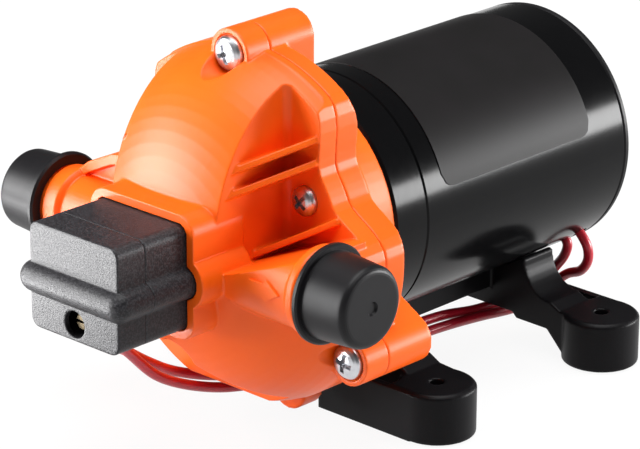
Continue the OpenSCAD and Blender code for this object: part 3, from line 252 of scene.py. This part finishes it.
finishOf = {
    "front_housing": orangeAbs, "rear_housing": orangeAbs, "switch_body": grainedAbs,
    "switch_cover": grainedAbs, "inlet_cap": blackCap, "outlet_cap": blackCap, "end_cap": blackCap,
    "wobble_plate": nylonBlack, "micro_switch": blackCap, "bracket": nylonBlack,
    "motor_can": glossEnamel, "motor_flange": glossEnamel, "motor_label": labelFilm,
    "red_lead_low": redPvc, "red_lead_high": redPvc, "switch_diaphragm": blackRubber,
    "valve_seal": blackRubber, "pump_diaphragm": blackRubber, "lead_grommets": blackRubber,
    "inlet_valves": redSilicone, "outlet_valve": redSilicone, "valve_plate": naturalAcetal,
    "pistons": naturalAcetal, "switch_plunger": naturalAcetal, "switch_button": redButton,
    "brush_plate": phenolicBoard, "magnets": ferrite, "brushes": pressedCarbon,
    "armature_core": coreSteel, "wobble_hub": coreSteel, "armature_windings": copperWire,
    "commutator": copperWire, "rear_bush": turnedBrass, "spring_seat": turnedBrass,
    # the adjusting screw's brass is darkened to paint the shade of its hole
    "adjusting_screw": holeShadedBrass, "housing_screws": zincSteel, "motor_screws": zincSteel,
    "switch_screws": zincSteel, "bracket_screws": zincSteel, "piston_screws": zincSteel,
    "switch_lever": zincSteel, "pressure_spring": zincSteel, "brush_springs": zincSteel,
}
for name, node in nodes.items():
    node.data.materials.clear()
    node.data.materials.append(finishOf.get(name, groundSteel))
print("finishes given to", len(nodes), "nodes")

# The camera stands where the photograph was taken
cameraPlace = {"stand": (0.66984, -0.74425, 0.42019), "aim": (0.0, -0.03618, 0.04994),
               "lens": 206.77, "sensor": 36, "roll": 0.244}
cameraData = bpy.data.cameras.new("camera")
cameraData.lens = cameraPlace["lens"]
cameraData.sensor_width = cameraPlace["sensor"]
camera = bpy.data.objects.new("camera", cameraData)
scene.collection.objects.link(camera)
stand, aim = Vector(cameraPlace["stand"]), Vector(cameraPlace["aim"])
camera.location = stand
camera.rotation_mode = "QUATERNION"
camera.rotation_quaternion = ((aim - stand).to_track_quat("-Z", "Y")
                              @ Quaternion((0, 0, 1), math.radians(cameraPlace["roll"])))
scene.camera = camera

# Red leads, from the switch box round under the bracket and up into the can
leads = {
    "diameter": 3.0, "steps": 6, "rings": 8,
    "low": [(-8, -109.6, 44.3), (-8, -109.6, 38.6), (-9, -107, 32.6), (-11, -99.5, 25.3),
            (-12, -90, 16.6), (-12, -79, 10.4), (-10.5, -66, 5.8), (-6, -55, 4.9), (-1, -45, 4.8),
            (3, -33, 5.8), (7, -19, 8), (9.5, -5, 9.3), (10, 9, 8.8), (10, 23, 7.4), (10.5, 36, 6),
            (12, 46, 6.6), (14.2, 51.5, 11), (18, 53, 14.6), (23, 53, 17), (26, 52.6, 21.2),
            (26, 52, 26), (22.56, 51.5, 30.81)],
    "high": [(-13, -109.6, 44.3), (-13, -109.6, 37.6), (-14.5, -105, 30.4), (-17.5, -95, 23.4),
             (-19.5, -85, 16.6), (-20, -75, 10.8), (-17, -64, 7), (-11.5, -54, 6), (-6.5, -45, 6),
             (-2, -33, 7.2), (2.5, -19, 9.6), (6, -5, 11.1), (7, 9, 10.8), (7, 23, 8.5),
             (7.4, 36, 7.7), (8.8, 45, 8.2), (11.4, 50, 12), (14.6, 51.7, 16.6), (17.9, 51.4, 20.9),
             (19.34, 51.0, 24.87), (17.81, 51.0, 27.46)],
}


def smoothRoute(points, steps):
    ends = [points[0]] + points + [points[-1]]
    route = []
    for a, b, c, d in zip(ends, ends[1:], ends[2:], ends[3:]):
        for i in range(steps):
            t = i / steps
            bend = (2 * a - 5 * b + 4 * c - d) + t * (3 * b - a - 3 * c + d)
            route.append(b + 0.5 * t * ((c - a) + t * bend))
    return route + [points[-1]]


for side in ("low", "high"):
    route = smoothRoute([Vector(p) * mm for p in leads[side]], leads["steps"])
    line = bpy.data.curves.new("redLead_" + side, "CURVE")
    line.dimensions = "3D"
    line.bevel_depth = leads["diameter"] / 2 * mm
    line.bevel_resolution = leads["rings"]
    line.use_fill_caps = True
    spline = line.splines.new("POLY")
    spline.points.add(len(route) - 1)
    for point, place in zip(spline.points, route):
        point.co = (*place, 1)
    spline.use_smooth = True
    line.materials.append(redPvc)
    lead = bpy.data.objects.new("redLead_" + side, line)
    scene.collection.objects.link(lead)
    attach(lead, "body")
    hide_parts("red_lead_" + side)


moulding = {"weldMm": 0.002, "relax": 0.5}


# A moulded skin: the CAD solid remeshed finely and relaxed, which rounds its edges as a mould does
def mouldSkin(name, node, look):
    skin = bpy.data.objects.new(name, nodes[node].data.copy())
    scene.collection.objects.link(skin)
    weld = skin.modifiers.new("weld", "WELD")
    weld.merge_threshold = moulding["weldMm"] * mm
    remesh = skin.modifiers.new("remesh", "REMESH")
    remesh.mode = "VOXEL"
    remesh.voxel_size = look["voxelMm"] * mm
    relax = skin.modifiers.new("relax", "SMOOTH")
    relax.factor = moulding["relax"]
    relax.iterations = look["passes"]
    thin = skin.modifiers.new("thin", "DECIMATE")
    thin.ratio = look["keep"]
    graph = bpy.context.evaluated_depsgraph_get()
    made = bpy.data.meshes.new_from_object(skin.evaluated_get(graph))
    skin.modifiers.clear()
    skin.data = made
    made.polygons.foreach_set("use_smooth", [True] * len(made.polygons))
    made.materials.clear()
    made.materials.append(finishOf[node])
    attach(skin, "body")
    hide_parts(node)
    print(name, "has", len(made.polygons), "faces")


skins = {
    "frontHousingSkin": ("front_housing", "orange_plastic",
                         {"voxelMm": 0.3, "passes": 3, "keep": 0.3}),
    "rearHousingSkin": ("rear_housing", "orange_plastic",
                        {"voxelMm": 0.4, "passes": 4, "keep": 0.3}),
    "switchCoverSkin": ("switch_cover", "black_plastic",
                        {"voxelMm": 0.25, "passes": 6, "keep": 0.4}),
    "switchBodySkin": ("switch_body", "black_plastic",
                       {"voxelMm": 0.3, "passes": 5, "keep": 0.4}),
    "bracketSkin": ("bracket", "black_plastic",
                    {"voxelMm": 0.4, "passes": 5, "keep": 0.3}),
}
for name, (node, slotName, look) in skins.items():
    mouldSkin(name, node, look)

sharpAngle = math.radians(40)


def pieceFrom(shape, name, finish, smooth=True):
    bmesh.ops.recalc_face_normals(shape, faces=shape.faces)
    mesh = bpy.data.meshes.new(name)
    shape.to_mesh(mesh)
    shape.free()
    if smooth:
        mesh.polygons.foreach_set("use_smooth", [True] * len(mesh.polygons))
        mesh.set_sharp_from_angle(angle=sharpAngle)
    mesh.materials.append(finish)
    piece = bpy.data.objects.new(name, mesh)
    scene.collection.objects.link(piece)
    return piece


# Bare label wrapped round the can, with rounded corners
label = {"from": 17.5, "to": 81.5, "low": 14, "wrap": 152, "canRadius": 36.5, "film": 0.25,
         "under": 0.02, "corner": 4.2, "backY": 58.0, "axisZ": 57.7, "columns": 48, "rows": 60}


def makeLabel():
    arc = math.radians(label["wrap"]) * label["canRadius"]
    length, corner = label["to"] - label["from"], label["corner"]
    columns, rows = label["columns"], label["rows"]
    shape = bmesh.new()
    layers = []
    for height in (label["film"], label["under"]):
        radius = label["canRadius"] + height
        grid = []
        for i in range(columns + 1):
            along = length * i / columns
            nearEnd = min(along, length - along)
            inset = corner - math.sqrt(max(corner ** 2 - max(corner - nearEnd, 0) ** 2, 0))
            line = []
            for j in range(rows + 1):
                around = inset + (arc - 2 * inset) * j / rows
                angle = math.radians(label["low"]) + around / label["canRadius"]
                line.append(shape.verts.new(Vector((
                    radius * math.cos(angle), label["backY"] - label["from"] - along,
                    label["axisZ"] + radius * math.sin(angle))) * mm))
            grid.append(line)
        layers.append(grid)
    top, under = layers
    for i in range(columns):
        for j in range(rows):
            shape.faces.new((top[i][j], top[i + 1][j], top[i + 1][j + 1], top[i][j + 1]))
            shape.faces.new((under[i][j + 1], under[i + 1][j + 1], under[i + 1][j], under[i][j]))
        for j in (0, rows):
            shape.faces.new((top[i][j], under[i][j], under[i + 1][j], top[i + 1][j]))
    for j in range(rows):
        for i in (0, columns):
            shape.faces.new((top[i][j], top[i][j + 1], under[i][j + 1], under[i][j]))
    piece = pieceFrom(shape, "labelFilm", labelFilm)
    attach(piece, "body")
    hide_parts("motor_label")


makeLabel()
print("label wrapped")

# Raised flow arrow on the outlet neck, wrapped round it
arrow = {"from": 33.2, "to": 44.2, "shaft": 1.75, "head": 3.1, "headLength": 5.2, "tip": 0.12,
         "turn": -4, "rise": 0.8, "sink": 0.6, "edge": 0.15, "steps": 18, "columns": 8,
         "neckRadius": 11.8, "axisY": -86.7, "axisZ": 57.7}


def onNeck(along, across, height):
    radius = arrow["neckRadius"] + height
    angle = math.radians(arrow["turn"]) - across / arrow["neckRadius"]
    return Vector((along, arrow["axisY"] - radius * math.cos(angle),
                   arrow["axisZ"] - radius * math.sin(angle))) * mm


def makeArrow():
    shape = bmesh.new()
    neck = arrow["to"] - arrow["headLength"]
    steps, last = arrow["steps"], arrow["columns"]
    middle = last // 2
    rows = []
    for i in range(steps + 1):
        along = arrow["from"] + (arrow["to"] - arrow["from"]) * i / steps
        taper = arrow["head"] * (arrow["to"] - along) / arrow["headLength"]
        half = max(arrow["shaft"] if along < neck else taper, arrow["tip"])
        row = []
        for height in (arrow["rise"], -arrow["sink"]):
            row.append([shape.verts.new(onNeck(along, half * k / middle, height))
                        for k in range(-middle, middle + 1)])
        rows.append(row)
    for first, second in zip(rows, rows[1:]):
        for k in range(last):
            shape.faces.new((first[0][k], second[0][k], second[0][k + 1], first[0][k + 1]))
            shape.faces.new((first[1][k + 1], second[1][k + 1], second[1][k], first[1][k]))
        shape.faces.new((first[0][last], second[0][last], second[1][last], first[1][last]))
        shape.faces.new((first[1][0], second[1][0], second[0][0], first[0][0]))
    for row in (rows[0], rows[-1]):
        for k in range(last):
            shape.faces.new((row[0][k], row[0][k + 1], row[1][k + 1], row[1][k]))
    piece = pieceFrom(shape, "flowArrow", orangeAbs, smooth=False)
    edge = piece.modifiers.new("edge", "BEVEL")
    edge.width = arrow["edge"] * mm
    edge.segments = 2
    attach(piece, "body")


makeArrow()
print("flow arrow raised on the neck")

# Pump diaphragm: the sheet nods with the wobble plate, and its edge is tucked into the roll
# that the housing holds, drawn from pairs of radius and distance ahead of the origin
diaphragm = {"sheetRadius": 20.2, "sheetFrom": 7.48, "sheetTo": 8.88, "tilt": 4,
             "holeRadius": 1.8, "holeCircle": 12.5, "holeTurns": (90, 210, 330), "holeSteps": 24,
             "nodY": -48.5, "axisZ": 57.7, "steps": 96,
             "roll": [(19.55, 55.17), (21.5, 55.17), (21.5, 58), (24.7, 58), (24.7, 59.7),
                      (19.8, 59.7), (19.8, 58.19), (19.55, 58.19)]}


def onWobble(x, y, ahead):
    tilt = math.radians(diaphragm["tilt"])
    return Vector((x, diaphragm["nodY"] - y * math.sin(tilt) - ahead * math.cos(tilt),
                   diaphragm["axisZ"] + y * math.cos(tilt) - ahead * math.sin(tilt))) * mm


def circlePoints(x, y, radius, count):
    turns = [2 * math.pi * i / count for i in range(count)]
    return [(x + radius * math.cos(turn), y + radius * math.sin(turn)) for turn in turns]


def makeDiaphragm():
    sheet = bmesh.new()
    outlines = [circlePoints(0, 0, diaphragm["sheetRadius"], diaphragm["steps"])]
    for turn in diaphragm["holeTurns"]:
        x = diaphragm["holeCircle"] * math.cos(math.radians(turn))
        y = diaphragm["holeCircle"] * math.sin(math.radians(turn))
        outlines.append(circlePoints(x, y, diaphragm["holeRadius"], diaphragm["holeSteps"]))
    for outline in outlines:
        corners = [sheet.verts.new((x, y, diaphragm["sheetFrom"])) for x, y in outline]
        for a, b in zip(corners, corners[1:] + corners[:1]):
            sheet.edges.new((a, b))
    bmesh.ops.triangle_fill(sheet, use_beauty=True, edges=sheet.edges[:])
    lifted = bmesh.ops.extrude_face_region(sheet, geom=sheet.faces[:], use_keep_orig=True)
    for part in lifted["geom"]:
        if isinstance(part, bmesh.types.BMVert):
            part.co.z = diaphragm["sheetTo"]
    for corner in sheet.verts:
        corner.co = onWobble(*corner.co)
    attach(pieceFrom(sheet, "diaphragmSheet", blackRubber), "wobble")
    roll = bmesh.new()
    rings = []
    for x, z in circlePoints(0, 0, 1, diaphragm["steps"]):
        ring = []
        for radius, ahead in diaphragm["roll"]:
            place = Vector((radius * x, -ahead, diaphragm["axisZ"] + radius * z))
            ring.append(roll.verts.new(place * mm))
        rings.append(ring)
    for first, second in zip(rings, rings[1:] + rings[:1]):
        for k in range(len(first)):
            roll.faces.new((first[k - 1], second[k - 1], second[k], first[k]))
    rim = pieceFrom(roll, "diaphragmRoll", blackRubber)
    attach(rim, "body")
    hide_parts("pump_diaphragm")


makeDiaphragm()
print("diaphragm split between housing and wobble plate")

# Pressure spring in two halves that meet in the middle: one half at the lever end, the other at the
# spring seat end
spring = {"radius": 2.2, "wire": 0.8, "pitch": 1.5, "turns": 5, "startY": -106.05, "axisZ": 47.3,
          "rings": 24, "sides": 10}


def springPlace(turns):
    return Vector((0, spring["startY"] - spring["pitch"] * turns, spring["axisZ"])) * mm


def makeHalfSpring(name, first, last):
    shape = bmesh.new()
    count = round(abs(last - first) * spring["rings"])
    rows = []
    for i in range(count + 1):
        turns = first + (last - first) * i / count
        out = Vector((math.cos(2 * math.pi * turns), 0, math.sin(2 * math.pi * turns)))
        row = []
        for across, along in circlePoints(0, 0, spring["wire"] / 2 * mm, spring["sides"]):
            reach = out * (spring["radius"] * mm + across)
            row.append(shape.verts.new(springPlace(turns) + reach + Vector((0, -along, 0))))
        rows.append(row)
    for one, two in zip(rows, rows[1:]):
        for k in range(spring["sides"]):
            shape.faces.new((one[k - 1], two[k - 1], two[k], one[k]))
    shape.faces.new(rows[0])
    shape.faces.new(rows[-1][::-1])
    half = pieceFrom(shape, name, zincSteel)
    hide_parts("pressure_spring")
    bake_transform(half)


makeHalfSpring("springLeverHalf", spring["turns"] / 2, 0)
makeHalfSpring("springSeatHalf", spring["turns"] / 2, spring["turns"])
print("pressure spring split between lever and seat")

# Pale floor that shows white to the eye and keeps a soft shadow
floorLook = {"half": 5.0, "drop": 0.0003, "white": "#f7f7f7", "bounce": "#cccccc",
             "shadowShare": 0.08}
floorShape = bmesh.new()
bmesh.ops.create_grid(floorShape, x_segments=2, y_segments=2, size=floorLook["half"])
floorMesh = bpy.data.meshes.new("floor")
floorShape.to_mesh(floorMesh)
floorShape.free()
floor = bpy.data.objects.new("floor", floorMesh)
floor.location.z = -floorLook["drop"]
scene.collection.objects.link(floor)
floorPaint = bpy.data.materials.new("paleFloorMatt")
floorPaint.use_nodes = True
floorTree = floorPaint.node_tree
floorTree.nodes.clear()
ray = addNode(floorTree, "ShaderNodeLightPath")
seen = addNode(floorTree, "ShaderNodeMath", {"operation": "MAXIMUM"},
               {0: ray.outputs["Is Camera Ray"], 1: ray.outputs["Is Glossy Ray"]})
shown = addNode(floorTree, "ShaderNodeMath", {"operation": "MAXIMUM"},
                {0: seen.outputs[0], 1: ray.outputs["Is Transmission Ray"]})
matt = addNode(floorTree, "ShaderNodeBsdfDiffuse", {"Color": hexToLinear(floorLook["white"])})
glow = addNode(floorTree, "ShaderNodeEmission", {"Color": (1, 1, 1, 1), "Strength": 1.0})
white = addNode(floorTree, "ShaderNodeMixShader", {0: 1 - floorLook["shadowShare"]},
                {1: matt.outputs[0], 2: glow.outputs[0]})
dim = addNode(floorTree, "ShaderNodeBsdfDiffuse", {"Color": hexToLinear(floorLook["bounce"])})
both = addNode(floorTree, "ShaderNodeMixShader",
               links={0: shown.outputs[0], 1: dim.outputs[0], 2: white.outputs[0]})
addNode(floorTree, "ShaderNodeOutputMaterial", links={"Surface": both.outputs[0]})
floorMesh.materials.append(floorPaint)

# Plain studio light: a pale room, a key box at the left, a strip behind on the right, a weak box
# beside the can, a large box above, and a low panel and a front card that only show as reflections
studio = {
    "room": ("#ffffff", 0.1),
    "boxes": {
        "keyBox": {"at": (-0.62, -0.7, 0.26), "size": (0.6, 0.5), "power": 15.0},
        "lowPanel": {"at": (-0.15, -0.25, 0.003), "size": (0.17, 0.17), "power": 2.5,
                     "faceUp": True, "mirrorOnly": True},
        "frontCard": {"at": (-0.34, -0.44, 0.08), "size": (0.34, 0.14), "power": 1.8,
                      "mirrorOnly": True},
        "strip": {"at": (0.53, 0.72, 0.15), "size": (0.5, 0.2), "power": 10.5},
        "sideBox": {"at": (0.75, 0.04, 0.15), "size": (0.3, 0.2), "power": 0.4},
        "topBox": {"at": (0.1, -0.05, 1.2), "size": (1.0, 1.0), "power": 19.0},
    },
}
room = bpy.data.worlds.new("room")
scene.world = room
room.use_nodes = True
room.node_tree.nodes.clear()
roomLight = addNode(room.node_tree, "ShaderNodeBackground",
                    {"Color": hexToLinear(studio["room"][0]), "Strength": studio["room"][1]})
addNode(room.node_tree, "ShaderNodeOutputWorld", links={"Surface": roomLight.outputs[0]})
for name, box in studio["boxes"].items():
    lamp = bpy.data.lights.new(name, "AREA")
    lamp.shape = "RECTANGLE"
    lamp.size, lamp.size_y = box["size"]
    lamp.energy = box["power"]
    holder = bpy.data.objects.new(name, lamp)
    holder.location = box["at"]
    holder.rotation_mode = "QUATERNION"
    towards = Vector((0, 0, 1)) if box.get("faceUp") else aim - holder.location
    holder.rotation_quaternion = towards.to_track_quat("-Z", "Y")
    holder.visible_camera = False
    holder.visible_diffuse = not box.get("mirrorOnly", False)
    scene.collection.objects.link(holder)
print("studio lit with", len(studio["boxes"]), "boxes")
